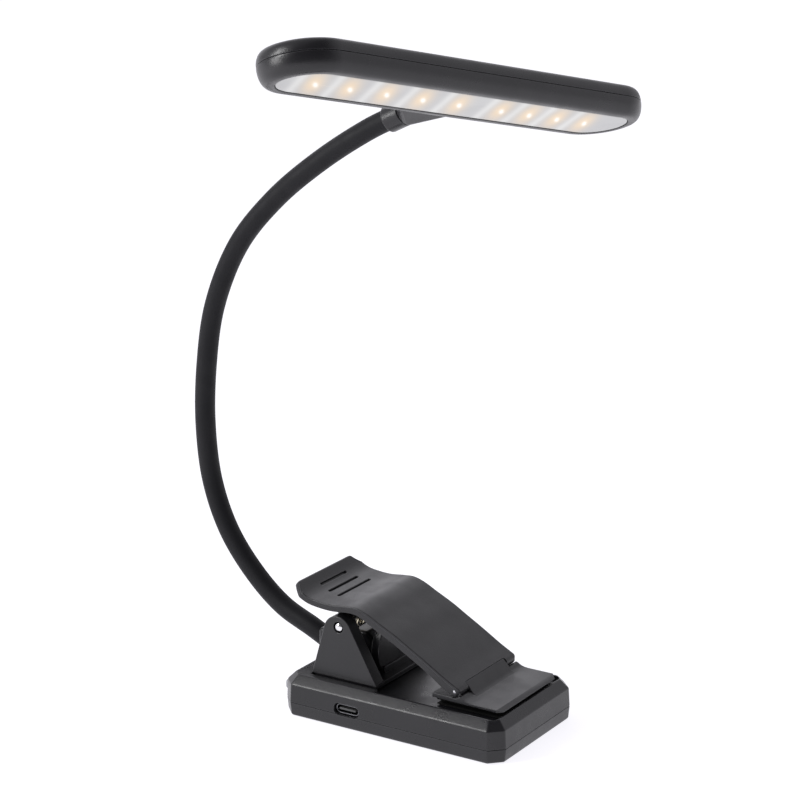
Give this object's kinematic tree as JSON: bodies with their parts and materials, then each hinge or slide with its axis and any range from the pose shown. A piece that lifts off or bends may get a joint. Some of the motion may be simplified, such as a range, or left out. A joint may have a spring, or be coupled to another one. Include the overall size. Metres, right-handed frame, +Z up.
{
  "type": "clip-on reading lamp",
  "caption": "Clip-on reading lamp: a spring clip on a flat rechargeable base, a curved gooseneck and a long slim LED head with a frosted lens.",
  "frame": {"origin": "centre of the underside of the base", "axes": "+Z up, +X from the neck's root towards the jaws along the base, -Y the charging port's side"},
  "size_m": [0.1368, 0.1482, 0.234],
  "materials": {
    "casing": "satin black ABS with a fine grain",
    "clip_plastic": "satin black ABS with a fine grain",
    "pad_rubber": "matte black ribbed rubber",
    "polished_pin": "bright polished steel",
    "spring_steel": "drawn spring wire, slightly yellow",
    "neck_rubber": "soft-touch black silicone sleeve",
    "cable_jacket": "matte black jacket",
    "diffuser": "frosted translucent white",
    "led_board_white": "white solder mask on aluminium",
    "circuit_board": "green solder mask",
    "battery_foil": "pouch foil",
    "lead_insulation": "red and black insulation",
    "port_metal": "bright plated steel",
    "port_tongue": "moulded black plastic",
    "button_grey": "light grey moulded plastic",
    "screw_steel": "zinc plated",
    "led": "warm white phosphor dome"
  },
  "bodies": {
    "base": {"base_bottom_shell": "casing", "base_top_shell": "casing", "base_screw_1": "screw_steel", "base_screw_2": "screw_steel", "base_screw_3": "screw_steel", "base_screw_4": "screw_steel", "bracket_screw_1": "screw_steel", "bracket_screw_2": "screw_steel", "base_circuit_board": "circuit_board", "battery_cell": "battery_foil", "battery_lead_1": "lead_insulation", "battery_lead_2": "lead_insulation", "usb_c_shell": "port_metal", "usb_c_tongue": "port_tongue", "button_switch": "port_tongue", "clip_bracket": "clip_plastic", "hinge_pin": "polished_pin", "torsion_spring": "spring_steel", "lower_jaw_pad": "pad_rubber", "neck_sleeve_root": "neck_rubber", "gooseneck_steel_core": "spring_steel", "lamp_cable": "cable_jacket"},
    "button": {"power_button": "button_grey"},
    "lever": {"clip_lever": "clip_plastic", "jaw_pin": "polished_pin"},
    "jaw": {"jaw_plate": "clip_plastic", "upper_jaw_pad": "pad_rubber"},
    "neck_lower": {"neck_bend_section_1": "neck_rubber", "neck_sleeve_lower": "neck_rubber"},
    "neck_middle": {"neck_bend_section_2": "neck_rubber", "neck_sleeve_middle": "neck_rubber"},
    "neck_upper": {"neck_bend_section_3": "neck_rubber", "neck_sleeve_upper": "neck_rubber"},
    "head": {"neck_collar": "casing", "head_mount": "casing", "head_bottom_shell": "casing", "head_top_shell": "casing", "diffuser_lens": "diffuser", "led_board": "led_board_white", "led_1": "led", "led_2": "led", "led_3": "led", "led_4": "led", "led_5": "led", "led_6": "led", "led_7": "led", "led_8": "led", "led_9": "led"}
  },
  "joints": [
    {"name": "lever_hinge", "type": "hinge", "parent": "base", "child": "lever", "pos_m": [-0.0228, 0, 0.0323], "axis": [0, -1, 0], "range_deg": [0, 28], "stiffness_Nm_per_rad": 0.35, "springref_deg": -17.19, "deforming": ["torsion_spring"]},
    {"name": "jaw_swivel", "type": "hinge", "parent": "lever", "child": "jaw", "pos_m": [0.0216, 0, 0.0188], "axis": [0, -1, 0], "range_deg": [-16.8, 0]},
    {"name": "button_press", "type": "slide", "parent": "base", "child": "button", "axis": [1, 0, 0], "range_m": [0, 0.0008], "stiffness_N_per_m": 400, "springref_m": -0.001},
    {"name": "neck_base_bend", "type": "hinge", "parent": "base", "child": "neck_lower", "pos_m": [-0.06351, 0, 0.0307], "axis": [0, 1, 0], "range_deg": [-30, 25], "deforming": ["neck_bend_section_1", "gooseneck_steel_core", "lamp_cable"]},
    {"name": "neck_side_bend", "type": "hinge", "parent": "neck_lower", "child": "neck_middle", "pos_m": [-0.08976, 0, 0.09563], "axis": [1, 0, 0], "range_deg": [-40, 40], "deforming": ["neck_bend_section_2"]},
    {"name": "neck_top_bend", "type": "hinge", "parent": "neck_middle", "child": "neck_upper", "pos_m": [-0.06858, 0, 0.15904], "axis": [0, 1, 0], "range_deg": [-45, 45], "deforming": ["neck_bend_section_3"]},
    {"name": "head_twist", "type": "hinge", "parent": "neck_upper", "child": "head", "pos_m": [-0.0095, 0, 0.2012], "axis": [0.8991, 0, 0.4377], "range_deg": [-60, 60]}
  ],
  "couplings": [
    {"joint": "jaw_swivel", "follows": "lever_hinge", "ratio": -0.6}
  ]
}
